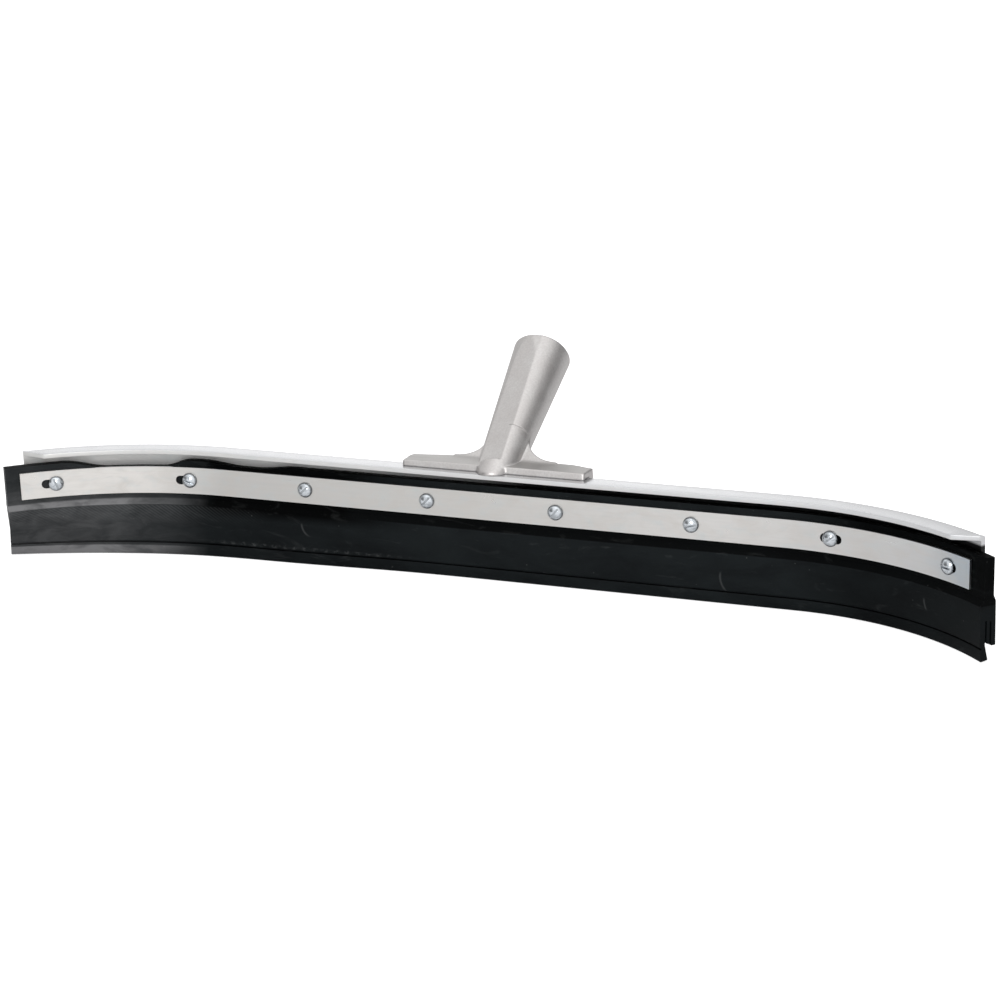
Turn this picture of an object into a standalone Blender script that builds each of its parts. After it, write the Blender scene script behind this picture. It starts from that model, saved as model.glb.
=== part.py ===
"""Head of a curved floor squeegee: zinc-plated steel angle, clamp strip, rubber blade and cast handle socket.

The blade line is straight in the middle and bends forward at both ends. Its layers are modelled as straight
bars, drilled, and then bent together, so every screw stays square to the stack. Within this file X runs along
the blade, Y runs backward from the strip's front face, and Z runs up from the floor line.
The origin of the finished head is the centre of the socket's mouth, where the handle goes in.
"""

import math

import bmesh
import bpy
from mathutils import Matrix, Vector

MM = 0.001
GAP = 0.3 * MM

# Blade line: straight in the middle, and then bent forward on one radius at each end.
# The free edge of the rubber hangs on bends of its own, given for the left and the right, and trails a little.
CLAMP_STRAIGHT = 177.4 * MM
CLAMP_RADIUS = 191.4 * MM
EDGE_STRAIGHT = (105.5 * MM, 186.0 * MM)
EDGE_RADIUS = (545.0 * MM, 161.0 * MM)
EDGE_TRAIL = 2.6 * MM
BEND_CUT = 9.5 * MM

# Layers, from the front to the back.
STRIP_HALF = 307.0 * MM
STRIP_SHIFT = -1.7 * MM
STRIP_WIDTH = 17.5 * MM
STRIP_THICK = 1.5 * MM
RUBBER_HALF = 317.4 * MM
RUBBER_THICK = 5.6 * MM
FRAME_HALF = 305.5 * MM
FRAME_THICK = 2.8 * MM

# Heights above the floor line.
SCREW_Z = 47.3 * MM
RUBBER_TOP = 59.7 * MM
FLANGE_LOW = 65.0 * MM
FRAME_BOTTOM = 38.7 * MM
SHOULDER_Z = 37.5 * MM
HANG_Z = 35.4 * MM

RUBBER_FRONT = STRIP_THICK + GAP
RUBBER_BACK = RUBBER_FRONT + RUBBER_THICK
FRAME_FRONT = RUBBER_BACK + GAP
FRAME_BACK = FRAME_FRONT + FRAME_THICK
FLANGE_TOP = FLANGE_LOW + FRAME_THICK
FLANGE_FRONT = -4.2 * MM
FLANGE_CUT = 11.5 * MM

# Slotted pan-head screws, spring washers and nuts, M5.
SCREW_COUNT = 8
SCREW_PITCH = 82.1 * MM
HOLE_DRIFT_MM = (0.6, 3.0, -0.1, -1.0, -0.4, 1.4, 3.0, 0.6)
SHANK_RADIUS = 2.5 * MM
HOLE_RADIUS = SHANK_RADIUS + GAP
HEAD_RADIUS = 4.75 * MM
HEAD_HEIGHT = 3.0 * MM
SLOT_WIDTH = 1.2 * MM
SLOT_DEPTH = 1.4 * MM
SHANK_SPARE = 1.5 * MM
WASHER_RADIUS = 4.6 * MM
WASHER_THICK = 1.2 * MM
NUT_ACROSS_FLATS = 8.0 * MM
NUT_THICK = 4.0 * MM
NUT_EDGE = 0.12 * MM
STRIP_SLOTS_MM = {0: (-9.0, 2.8), 1: (-9.0, 2.8), 6: (-6.2, 7.1), 7: (-2.8, 6.4)}
SLOT_ANGLES = (113, 158, 46, 47, 52, 11, 38, 176)

# Socket casting: a foot on the top flange, a skirt behind the frame, and a tapered socket.
FOOT_HALF = 58.6 * MM
FOOT_SHIFT = 0.6 * MM
FOOT_FRONT = 1.6 * MM
FOOT_BACK = 18.8 * MM
FOOT_THICK = 3.8 * MM
FOOT_CORNER = 1.5 * MM
FOOT_DRAFT = 1.0 * MM
SKIRT_THICK = 4.0 * MM
SKIRT_BOTTOM = 39.5 * MM
SOCKET_TILT = math.radians(56.9)
SOCKET_ROOT = Vector((0.0, 12.45 * MM, 66.8 * MM))
SOCKET_LENGTH = 94.8 * MM
SOCKET_ROOT_RADIUS = 12.7 * MM
SOCKET_MOUTH_RADIUS = 18.0 * MM
SOCKET_TAIL = 32.0 * MM
BOSS_FRONT = -3.2 * MM
BORE_DEPTH = 75.0 * MM
BORE_MOUTH_RADIUS = 14.4 * MM
BORE_END_RADIUS = 11.2 * MM
WEB_REACH = 30.0 * MM
WEB_THICK = 4.0 * MM
WEB_LOW = 7.5 * MM
WEB_HIGH = 19.0 * MM

SKIRT_FRONT = FRAME_BACK + GAP
SKIRT_BACK = SKIRT_FRONT + SKIRT_THICK
FOOT_BOTTOM = FLANGE_TOP + GAP
FOOT_TOP = FOOT_BOTTOM + FOOT_THICK
SOCKET_AXIS = Vector((0.0, math.sin(SOCKET_TILT), math.cos(SOCKET_TILT)))
MOUTH = SOCKET_ROOT + SOCKET_AXIS * SOCKET_LENGTH

ROUND_STEPS = 48
HOLE_STEPS = 16
SCREW_STEPS = 24
FAR = 0.2
WELD = 1e-6


def clear_scene():
    for obj in list(bpy.data.objects):
        bpy.data.objects.remove(obj, do_unlink=True)


def new_collection(name):
    collection = bpy.data.collections.new(name)
    bpy.context.scene.collection.children.link(collection)
    return collection


def new_material(name, color, roughness, metallic):
    material = bpy.data.materials.new(name)
    material.use_nodes = True
    shader = material.node_tree.nodes["Principled BSDF"]
    shader.inputs["Base Color"].default_value = (*color, 1.0)
    shader.inputs["Roughness"].default_value = roughness
    shader.inputs["Metallic"].default_value = metallic
    return material


def new_object(name, mesh, collection):
    obj = bpy.data.objects.new(name, mesh)
    collection.objects.link(obj)
    return obj


def mesh_from(bm, name):
    bmesh.ops.remove_doubles(bm, verts=bm.verts, dist=WELD)
    bmesh.ops.recalc_face_normals(bm, faces=bm.faces)
    mesh = bpy.data.meshes.new(name)
    bm.to_mesh(mesh)
    bm.free()
    return mesh


def evaluated_mesh(obj, name):
    """The mesh that obj's modifiers or curve settings give, in world space, and obj removed."""
    bpy.context.view_layer.update()
    graph = bpy.context.evaluated_depsgraph_get()
    mesh = bpy.data.meshes.new_from_object(obj.evaluated_get(graph))
    mesh.transform(obj.matrix_world)
    bpy.data.objects.remove(obj, do_unlink=True)
    bm = bmesh.new()
    bm.from_mesh(mesh)
    return mesh_from(bm, name)


def add_cone(bm, low, high, low_radius, high_radius, segments):
    """A cone or cylinder between two centres."""
    axis = high - low
    turn = Vector((0.0, 0.0, 1.0)).rotation_difference(axis).to_matrix().to_4x4()
    bmesh.ops.create_cone(
        bm,
        cap_ends=True,
        segments=segments,
        radius1=low_radius,
        radius2=high_radius,
        depth=axis.length,
        matrix=Matrix.Translation((low + high) / 2) @ turn,
    )


def add_box(bm, low, high):
    low, high = Vector(low), Vector(high)
    scale = Matrix.Diagonal((*(high - low), 1.0))
    bmesh.ops.create_cube(bm, size=1.0, matrix=Matrix.Translation((low + high) / 2) @ scale)


def add_slot(bm, start, end, low_y, high_y, radius):
    """A straight slot along X with round ends, as a closed prism along Y."""
    ends = bmesh.new()
    for x in (start, end):
        low = Vector((x, low_y, SCREW_Z))
        add_cone(ends, low, Vector((x, high_y, SCREW_Z)), radius, radius, HOLE_STEPS)
    points = [vert.co.copy() for vert in ends.verts]
    ends.free()
    verts = [bm.verts.new(point) for point in points]
    bmesh.ops.convex_hull(bm, input=verts)


def combine(obj, shape, operation, cutters):
    """Adds a Boolean with the shape in a bmesh, kept as a hidden helper."""
    helper = new_object(obj.name + "_tool", mesh_from(shape, obj.name + "_tool"), cutters)
    helper.hide_render = True
    helper.display_type = "WIRE"
    boolean = obj.modifiers.new(operation.lower(), "BOOLEAN")
    boolean.operation = operation
    boolean.object = helper


def profile_bar(name, outline, half_length, straight, parts, shift=0.0):
    """A bar along X whose section is the (depth, height) outline, cross-cut beyond its straight middle."""
    curve = bpy.data.curves.new(name, "CURVE")
    curve.dimensions = "2D"
    curve.fill_mode = "BOTH"
    curve.extrude = half_length
    spline = curve.splines.new("POLY")
    spline.points.add(len(outline) - 1)
    for point, (depth, height) in zip(spline.points, outline):
        point.co = (depth, height, 0.0, 1.0)
    spline.use_cyclic_u = True
    flat = new_object(name, curve, parts)
    flat.matrix_world = Matrix(((0, 0, 1, shift), (1, 0, 0, 0), (0, 1, 0, 0), (0, 0, 0, 1)))
    bm = bmesh.new()
    bm.from_mesh(evaluated_mesh(flat, name))
    cuts = math.ceil((half_length - straight) / BEND_CUT)
    for step in range(cuts):
        for side in (-1, 1):
            station = side * (straight + (half_length + side * shift - straight) * step / cuts)
            bmesh.ops.bisect_plane(
                bm,
                geom=[*bm.verts, *bm.edges, *bm.faces],
                plane_co=(station, 0.0, 0.0),
                plane_no=(1.0, 0.0, 0.0),
            )
    return new_object(name, mesh_from(bm, name), parts)


def blade_line(station, straight, radius):
    """The point, and the normal pointing back, at a distance along the blade line from its middle."""
    side = math.copysign(1.0, station)
    angle = max(abs(station) - straight, 0.0) / radius
    x = side * (min(abs(station), straight) + radius * math.sin(angle))
    y = -radius * (1.0 - math.cos(angle))
    return Vector((x, y, 0.0)), Vector((side * math.sin(angle), math.cos(angle), 0.0))


def bent(point):
    """Where a point of the straight stack goes: below the clamp, the rubber moves over to its edge line."""
    side = 0 if point.x < 0.0 else 1
    clamp, clamp_normal = blade_line(point.x, CLAMP_STRAIGHT, CLAMP_RADIUS)
    edge, edge_normal = blade_line(point.x, EDGE_STRAIGHT[side], EDGE_RADIUS[side])
    share = min(max((HANG_Z - point.z) / HANG_Z, 0.0), 1.0)
    hanging = edge + edge_normal * (point.y + EDGE_TRAIL)
    place = (clamp + clamp_normal * point.y).lerp(hanging, share)
    place.z = point.z
    return place


def bend(obj, parts):
    """Bakes a bar's modifiers and bends it along the blade line."""
    name = obj.name
    bm = bmesh.new()
    bm.from_mesh(evaluated_mesh(obj, name))
    bmesh.ops.triangulate(bm, faces=bm.faces)
    for vert in bm.verts:
        vert.co = bent(vert.co)
    return new_object(name, mesh_from(bm, name), parts)


def screw_stations():
    """Where the screws are along the blade: an even pitch, and each hole's own small drift."""
    first = -(SCREW_COUNT - 1) / 2 * SCREW_PITCH
    return [first + place * SCREW_PITCH + drift * MM for place, drift in enumerate(HOLE_DRIFT_MM)]


def drill_clamp_holes(obj, cutters):
    """A clearance hole at every screw."""
    holes = bmesh.new()
    for station in screw_stations():
        front = Vector((station, -FAR, SCREW_Z))
        add_cone(holes, front, Vector((station, FAR, SCREW_Z)), HOLE_RADIUS, HOLE_RADIUS, HOLE_STEPS)
    combine(obj, holes, "DIFFERENCE", cutters)


def make_clamp_strip(parts, cutters):
    low = SCREW_Z - STRIP_WIDTH / 2
    high = SCREW_Z + STRIP_WIDTH / 2
    outline = [(0.0, low), (STRIP_THICK, low), (STRIP_THICK, high), (0.0, high)]
    strip = profile_bar("clamp_strip", outline, STRIP_HALF, CLAMP_STRAIGHT, parts, STRIP_SHIFT)
    holes = bmesh.new()
    for place, station in enumerate(screw_stations()):
        if place in STRIP_SLOTS_MM:
            low_end, high_end = (station + reach * MM for reach in STRIP_SLOTS_MM[place])
            add_slot(holes, low_end + HOLE_RADIUS, high_end - HOLE_RADIUS, -FAR, FAR, HOLE_RADIUS)
        else:
            front = Vector((station, -FAR, SCREW_Z))
            back = Vector((station, FAR, SCREW_Z))
            add_cone(holes, front, back, HOLE_RADIUS, HOLE_RADIUS, HOLE_STEPS)
    combine(strip, holes, "DIFFERENCE", cutters)
    return bend(strip, parts)


def rubber_outline():
    """Section of the blade: a clamped head, two shoulders, and three fins parted by two slits.

    The front fin is the wiping lip. It leans back below a groove and reaches the floor line.
    """
    body_front, body_back = -1.2 * MM, 8.8 * MM
    front_slit, back_slit = (2.1 * MM, 3.1 * MM), (5.0 * MM, 6.0 * MM)
    front_slit_top, back_slit_top = 23.5 * MM, 22.9 * MM
    shoulder_drop = 2.5 * MM
    fin_bottom, groove = 8.8 * MM, 10.2 * MM
    lip_front, lip_back = 0.6 * MM, 4.0 * MM
    nick = 0.8 * MM
    return [
        (RUBBER_FRONT, RUBBER_TOP),
        (RUBBER_BACK, RUBBER_TOP),
        (RUBBER_BACK, SHOULDER_Z),
        (body_back, SHOULDER_Z - shoulder_drop),
        (body_back, fin_bottom + nick),
        (body_back - nick, fin_bottom),
        (back_slit[1], fin_bottom),
        (back_slit[1], back_slit_top),
        (back_slit[0], back_slit_top),
        (back_slit[0], fin_bottom + nick),
        (front_slit[1] + nick, fin_bottom + nick),
        (front_slit[1], fin_bottom + 2 * nick),
        (front_slit[1], front_slit_top),
        (front_slit[0], front_slit_top),
        (front_slit[0], fin_bottom + nick),
        (lip_back, nick),
        (lip_front, 0.0),
        (body_front + nick, groove - 2 * nick),
        (body_front + 2 * nick, groove - nick),
        (body_front, groove),
        (body_front, HANG_Z - shoulder_drop),
        (RUBBER_FRONT, HANG_Z),
    ]


def make_rubber_blade(parts, cutters):
    rubber = profile_bar("rubber_blade", rubber_outline(), RUBBER_HALF, min(EDGE_STRAIGHT), parts)
    drill_clamp_holes(rubber, cutters)
    return bend(rubber, parts)


def frame_outline():
    """Section of the steel angle: a rear leg, and a top flange that reaches forward over the strip."""
    outer = FRAME_THICK
    centre = Vector((FRAME_BACK - outer, FLANGE_TOP - outer))
    steps = 4
    corner = []
    for step in range(steps + 1):
        angle = math.pi / 2 * step / steps
        corner.append((centre.x + outer * math.cos(angle), centre.y + outer * math.sin(angle)))
    return [
        (FLANGE_FRONT, FLANGE_LOW),
        (FRAME_FRONT, FLANGE_LOW),
        (FRAME_FRONT, FRAME_BOTTOM),
        (FRAME_BACK, FRAME_BOTTOM),
        *corner,
        (FLANGE_FRONT, FLANGE_TOP),
    ]


def add_flange_cut(bm, side):
    """A prism that takes the front corner off one end of the top flange, at a slant."""
    tip = side * FRAME_HALF
    margin = 2.0 * MM
    slope = FLANGE_CUT / (FRAME_FRONT - FLANGE_FRONT)
    low_y = FLANGE_FRONT - margin
    plan = [
        (tip - side * (FLANGE_CUT + slope * margin), low_y),
        (tip + side * margin, low_y),
        (tip + side * margin, FRAME_FRONT),
        (tip, FRAME_FRONT),
    ]
    low, high = FLANGE_LOW - margin, FLANGE_TOP + margin
    verts = [bm.verts.new((x, y, z)) for x, y in plan for z in (low, high)]
    bmesh.ops.convex_hull(bm, input=verts)


def make_frame(parts, cutters):
    frame = profile_bar("frame_channel", frame_outline(), FRAME_HALF, CLAMP_STRAIGHT, parts)
    drill_clamp_holes(frame, cutters)
    corners = bmesh.new()
    for side in (-1, 1):
        add_flange_cut(corners, side)
    combine(frame, corners, "DIFFERENCE", cutters)
    return bend(frame, parts)


def add_web(bm, side):
    """A gusset in the socket's own tilted plane, from the back of the foot up to the socket's side."""
    steps = 6
    root, inner = 8.0 * MM, 14.6 * MM
    sink = 4.0 * MM
    curve = []
    for step in range(steps + 1):
        angle = math.pi / 2 * step / steps
        x = WEB_REACH - (WEB_REACH - inner) * math.sin(angle)
        curve.append((x, WEB_LOW + (WEB_HIGH - WEB_LOW) * (1.0 - math.cos(angle))))
    plan = [(WEB_REACH, WEB_LOW - sink), *curve, (root, WEB_HIGH), (root, WEB_LOW - sink)]
    across = Vector((0.0, SOCKET_AXIS.z, -SOCKET_AXIS.y)) * WEB_THICK
    start = SOCKET_ROOT - across / 2
    verts = [bm.verts.new(start + Vector((side * x, 0.0, 0.0)) + SOCKET_AXIS * along) for x, along in plan]
    face = bm.faces.new(verts)
    moved = bmesh.ops.extrude_face_region(bm, geom=[face])["geom"]
    back = [item for item in moved if isinstance(item, bmesh.types.BMVert)]
    bmesh.ops.translate(bm, verts=back, vec=across)


def socket_radius(along):
    taper = (SOCKET_MOUTH_RADIUS - SOCKET_ROOT_RADIUS) / SOCKET_LENGTH
    return SOCKET_ROOT_RADIUS + taper * along


def make_socket(parts, cutters):
    """The casting: socket cone, cleared for the frame, with its foot, skirt and webs, and then bored."""
    shape = bmesh.new()
    tail = SOCKET_ROOT - SOCKET_AXIS * SOCKET_TAIL
    add_cone(shape, tail, MOUTH, socket_radius(-SOCKET_TAIL), SOCKET_MOUTH_RADIUS, ROUND_STEPS)
    casting = new_object("socket_casting", mesh_from(shape, "socket_casting"), parts)

    clearance = bmesh.new()
    add_box(clearance, (-FAR, -FAR, -FAR), (FAR, SKIRT_FRONT, FOOT_BOTTOM))
    combine(casting, clearance, "DIFFERENCE", cutters)
    front = bmesh.new()
    add_box(front, (-FAR, -FAR, -FAR), (FAR, BOSS_FRONT, FAR))
    combine(casting, front, "DIFFERENCE", cutters)

    foot = bmesh.new()
    left, right = FOOT_SHIFT - FOOT_HALF, FOOT_SHIFT + FOOT_HALF
    add_box(foot, (left, FOOT_FRONT, FOOT_BOTTOM), (right, FOOT_BACK, FOOT_TOP))
    upright = [edge for edge in foot.edges if abs(edge.verts[0].co.z - edge.verts[1].co.z) > FOOT_THICK / 2]
    bmesh.ops.bevel(foot, geom=upright, offset=FOOT_CORNER, segments=3, affect="EDGES")
    middle = (FOOT_FRONT + FOOT_BACK) / 2
    for vert in foot.verts:
        if vert.co.z > FOOT_BOTTOM + FOOT_THICK / 2 and vert.co.y < middle:
            vert.co.y += FOOT_DRAFT
    combine(casting, foot, "UNION", cutters)
    skirt = bmesh.new()
    skirt_half = FOOT_HALF - FOOT_CORNER
    add_box(skirt, (-skirt_half, SKIRT_FRONT, SKIRT_BOTTOM), (skirt_half, SKIRT_BACK, FOOT_TOP - GAP))
    combine(casting, skirt, "UNION", cutters)
    for side in (-1, 1):
        web = bmesh.new()
        add_web(web, side)
        combine(casting, web, "UNION", cutters)

    bore = bmesh.new()
    beyond = 5.0 * MM
    taper = (BORE_MOUTH_RADIUS - BORE_END_RADIUS) / BORE_DEPTH
    end = MOUTH - SOCKET_AXIS * BORE_DEPTH
    outside = MOUTH + SOCKET_AXIS * beyond
    add_cone(bore, end, outside, BORE_END_RADIUS, BORE_MOUTH_RADIUS + taper * beyond, ROUND_STEPS)
    for station in screw_stations():
        if abs(station) < FOOT_HALF:
            front = Vector((station, SKIRT_FRONT - 1.0 * MM, SCREW_Z))
            back = Vector((station, SKIRT_BACK + 1.0 * MM, SCREW_Z))
            add_cone(bore, front, back, HOLE_RADIUS, HOLE_RADIUS, HOLE_STEPS)
    combine(casting, bore, "DIFFERENCE", cutters)
    return new_object("socket_casting", evaluated_mesh(casting, "socket_casting"), parts)


def turned(name, profile, steps, parts):
    """A profile of (radius, height) points, run down its outer side and turned round Z."""
    mesh = bpy.data.meshes.new(name)
    points = [(radius, 0.0, height) for radius, height in profile]
    mesh.from_pydata(points, [(i, i + 1) for i in range(len(points) - 1)], [])
    obj = new_object(name, mesh, parts)
    screw = obj.modifiers.new("turn", "SCREW")
    screw.steps = steps
    screw.render_steps = steps
    screw.use_merge_vertices = True
    screw.merge_threshold = WELD
    return obj


def screw_mesh(name, shank, parts, cutters):
    """A slotted pan-head screw: the head stands on Z = 0 and points up, the shank runs down."""
    dome_steps = 5
    rim = 0.9 * MM
    chamfer = 0.5 * MM
    profile = []
    for step in range(dome_steps + 1):
        angle = math.pi / 2 * step / dome_steps
        profile.append((HEAD_RADIUS * math.sin(angle), rim + (HEAD_HEIGHT - rim) * math.cos(angle)))
    profile += [
        (HEAD_RADIUS, 0.0),
        (SHANK_RADIUS, 0.0),
        (SHANK_RADIUS, chamfer - shank),
        (SHANK_RADIUS - chamfer, -shank),
        (0.0, -shank),
    ]
    obj = turned(name, profile, SCREW_STEPS, parts)
    slot = bmesh.new()
    low = HEAD_HEIGHT - SLOT_DEPTH
    add_box(slot, (-FAR, -SLOT_WIDTH / 2, low), (FAR, SLOT_WIDTH / 2, FAR))
    combine(obj, slot, "DIFFERENCE", cutters)
    return evaluated_mesh(obj, name)


def washer_mesh(parts, cutters):
    """A split spring washer, lying from Z = 0 down."""
    ring = bmesh.new()
    add_cone(ring, Vector((0, 0, -WASHER_THICK)), Vector(), WASHER_RADIUS, WASHER_RADIUS, SCREW_STEPS)
    obj = new_object("lock_washer", mesh_from(ring, "lock_washer"), parts)
    hole = bmesh.new()
    add_cone(hole, Vector((0, 0, -FAR)), Vector((0, 0, FAR)), HOLE_RADIUS, HOLE_RADIUS, SCREW_STEPS)
    combine(obj, hole, "DIFFERENCE", cutters)
    split = bmesh.new()
    split_width = 0.8 * MM
    add_box(split, (0.0, -split_width / 2, -FAR), (FAR, split_width / 2, FAR))
    combine(obj, split, "DIFFERENCE", cutters)
    return evaluated_mesh(obj, "lock_washer")


def nut_mesh(parts, cutters):
    """A hexagon nut with chamfered corners, lying from Z = 0 down."""
    body = bmesh.new()
    corner = NUT_ACROSS_FLATS / math.sqrt(3.0)
    add_cone(body, Vector((0, 0, -NUT_THICK)), Vector(), corner, corner, 6)
    obj = new_object("clamp_nut", mesh_from(body, "clamp_nut"), parts)
    crown = bmesh.new()
    wide = corner + NUT_THICK
    narrow = NUT_ACROSS_FLATS / 2 - NUT_EDGE
    add_cone(crown, Vector((0, 0, -NUT_THICK)), Vector(), narrow, wide, SCREW_STEPS)
    combine(obj, crown, "INTERSECT", cutters)
    hole = bmesh.new()
    add_cone(hole, Vector((0, 0, -FAR)), Vector((0, 0, FAR)), HOLE_RADIUS, HOLE_RADIUS, SCREW_STEPS)
    combine(obj, hole, "DIFFERENCE", cutters)
    return evaluated_mesh(obj, "clamp_nut")


def place_fastener(name, mesh, station, depth, turn, parts):
    """Puts a fastener at a depth in the stack: its local X runs along the blade, and Z points out of the strip."""
    line, normal = blade_line(station, CLAMP_STRAIGHT, CLAMP_RADIUS)
    obj = new_object(name, mesh, parts)
    up = Vector((0.0, 0.0, 1.0))
    facing = Matrix((up.cross(-normal), up, -normal)).transposed().to_4x4()
    place = line + normal * depth + up * SCREW_Z
    obj.matrix_world = Matrix.Translation(place) @ facing @ Matrix.Rotation(turn, 4, "Z")
    return obj


def make_fasteners(parts, cutters):
    """A screw, a spring washer and a nut at every place; the two behind the foot also hold the skirt."""
    washer = washer_mesh(parts, cutters)
    nut = nut_mesh(parts, cutters)
    screws = {}
    made = []
    for place, station in enumerate(screw_stations()):
        back = SKIRT_BACK if abs(station) < FOOT_HALF else FRAME_BACK
        washer_front = back + GAP
        nut_front = washer_front + WASHER_THICK + GAP
        shank = nut_front + NUT_THICK + SHANK_SPARE + GAP
        if back not in screws:
            screws[back] = screw_mesh("clamp_screw", shank, parts, cutters)
        number = place + 1
        turn = math.radians(SLOT_ANGLES[place])
        made.append(place_fastener(f"clamp_screw_{number}", screws[back], station, -GAP, turn, parts))
        made.append(place_fastener(f"lock_washer_{number}", washer, station, washer_front, turn, parts))
        made.append(place_fastener(f"clamp_nut_{number}", nut, station, nut_front, turn, parts))
    return made


def finish(objects, head, material):
    for obj in objects:
        world = obj.matrix_world.copy()
        obj.parent = head
        obj.matrix_world = Matrix.Translation(-MOUTH) @ world
        obj.data.materials.clear()
        obj.data.materials.append(material)
        obj.data.shade_smooth()
        obj.data.set_sharp_from_angle(angle=math.radians(30))


def main():
    clear_scene()
    parts = new_collection("curved_floor_squeegee_head")
    cutters = new_collection("cutters")
    head = bpy.data.objects.new("socket_mouth", None)
    parts.objects.link(head)

    plated = new_material("zinc_plated_steel", (0.72, 0.71, 0.70), 0.28, 1.0)
    rubber = new_material("black_rubber", (0.022, 0.025, 0.026), 0.55, 0.0)
    cast = new_material("cast_aluminium", (0.60, 0.58, 0.56), 0.42, 1.0)
    bright = new_material("bright_zinc", (0.78, 0.80, 0.83), 0.18, 1.0)

    finish([make_frame(parts, cutters), make_clamp_strip(parts, cutters)], head, plated)
    finish([make_rubber_blade(parts, cutters)], head, rubber)
    finish([make_socket(parts, cutters)], head, cast)
    finish(make_fasteners(parts, cutters), head, bright)


main()
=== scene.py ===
"""Curved floor squeegee head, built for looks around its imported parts.

Shapes are worked out in millimetres in the head's own layout: X runs along the blade, Y runs back from
the clamp strip's front face, and Z runs up from the floor line. in_row moves them to the frame's place.
"""

import itertools
import math

import bmesh
import bpy
import numpy as np
from mathutils import Matrix, Vector


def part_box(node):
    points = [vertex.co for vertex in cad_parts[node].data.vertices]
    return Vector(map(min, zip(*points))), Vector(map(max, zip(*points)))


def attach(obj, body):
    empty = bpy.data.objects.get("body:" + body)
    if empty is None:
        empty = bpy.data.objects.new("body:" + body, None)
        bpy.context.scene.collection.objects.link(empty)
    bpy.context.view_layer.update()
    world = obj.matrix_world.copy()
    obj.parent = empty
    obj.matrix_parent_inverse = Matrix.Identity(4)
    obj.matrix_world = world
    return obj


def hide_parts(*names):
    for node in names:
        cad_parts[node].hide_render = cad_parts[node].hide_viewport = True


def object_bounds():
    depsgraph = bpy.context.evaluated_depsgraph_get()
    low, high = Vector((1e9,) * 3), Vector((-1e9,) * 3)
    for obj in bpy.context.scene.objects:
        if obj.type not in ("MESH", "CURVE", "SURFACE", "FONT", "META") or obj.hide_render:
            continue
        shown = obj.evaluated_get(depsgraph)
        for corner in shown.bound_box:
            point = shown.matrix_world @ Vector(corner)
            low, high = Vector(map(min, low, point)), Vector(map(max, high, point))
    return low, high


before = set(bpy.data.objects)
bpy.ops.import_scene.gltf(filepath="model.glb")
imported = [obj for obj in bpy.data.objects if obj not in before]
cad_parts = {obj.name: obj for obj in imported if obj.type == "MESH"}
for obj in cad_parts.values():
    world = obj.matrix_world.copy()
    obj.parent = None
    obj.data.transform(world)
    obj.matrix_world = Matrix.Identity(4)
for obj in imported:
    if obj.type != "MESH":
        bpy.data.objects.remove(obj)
CAD_LOW, CAD_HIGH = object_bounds()

MM = 0.001

# Blade line: a straight middle, bent forward on one radius at each end. The free edge hangs on its own
# bends, and sags forward a little in one place.
CLAMP_STRAIGHT, CLAMP_RADIUS = 177.4, 191.4
EDGE_STRAIGHT, EDGE_RADIUS = (105.5, 186.0), (545.0, 161.0)
EDGE_TRAIL = 2.6
SAG_STATION, SAG_REACH, SAG_WIDTH = -130.0, 4.5, 55.0
STATION_STEP = 3.0

# Layers, front to back, and heights above the floor line.
STRIP_ENDS = (-308.7, 305.3)
STRIP_THICK = 1.5
STRIP_BOTTOM, STRIP_TOP = 38.55, 55.6
RUBBER_HALF = 317.35
RUBBER_FRONT, RUBBER_BACK = 1.8, 7.4
FRAME_ENDS = (-304.6, 305.5)
FRAME_FRONT, FRAME_BACK = 7.7, 10.5
SCREW_Z = 47.3
RUBBER_TOP = 59.7
# Where the rubber's top edge dips: after which screw, how far, and where it falls and comes back, past
# that screw and past the next one.
TOP_DIPS = (
    (0, 4.6, (5.0, 33.0), (-17.0, 0.0)),
    (1, 2.4, (8.0, 34.0), (-34.0, -8.0)),
)
FLANGE_LOW, FLANGE_TOP = 65.0, 67.8
FRAME_BOTTOM = 38.7
SHOULDER_Z, HANG_Z = 37.5, 35.4
FLANGE_FRONT = -4.2
FLANGE_CUT = 11.5
# How far the casting's foot stands off the flange.
SEAT_GAP = 0.06

# Fasteners.
SCREW_PITCH = 82.1
# How far each screw stands off the even pitch, how its head's slot is turned, and which of the strip's
# holes are slots, with their reach to either side of the screw.
HOLE_DRIFT = (0.6, 3.0, -0.1, -1.0, -0.4, 1.4, 3.0, 0.6)
SLOT_ANGLES = (113, 158, 46, 47, 52, 11, 38, 176)
STRIP_SLOTS = {0: (-9.0, 2.8), 1: (-9.0, 2.8), 6: (-6.2, 7.1), 7: (-2.8, 6.4)}
SHANK_RADIUS, HOLE_RADIUS = 2.5, 2.8
HEAD_RADIUS, HEAD_HEIGHT, HEAD_RIM = 4.75, 3.0, 0.5
SLOT_WIDTH, SLOT_DEPTH = 1.2, 1.4
THREAD_PITCH = 0.8
THREAD_DEPTH = 0.35
WASHER_RADIUS, WASHER_THICK = 4.6, 1.2
NUT_FLATS, NUT_THICK = 8.0, 4.0
SHANK_SPARE = 1.5
GAP = 0.3

# A bar's UV map is in these millimetres too. Its level faces lie this far up the map.
FLAT_OFFSET = 100.0
# The spacing of the row of small moulding beads above the lip.
BEAD_PITCH = 7.0
# Curved scratches on the rubber: centre along and up, radius, and the middle and reach of their height.
SCUFFS = (
    ((155.0, 17.0), 13.0, (14.0, 6.5)),
    ((285.0, 24.0), 14.0, (21.0, 4.0)),
    ((-117.0, 26.0), 9.0, (22.0, 4.5)),
)

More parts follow.
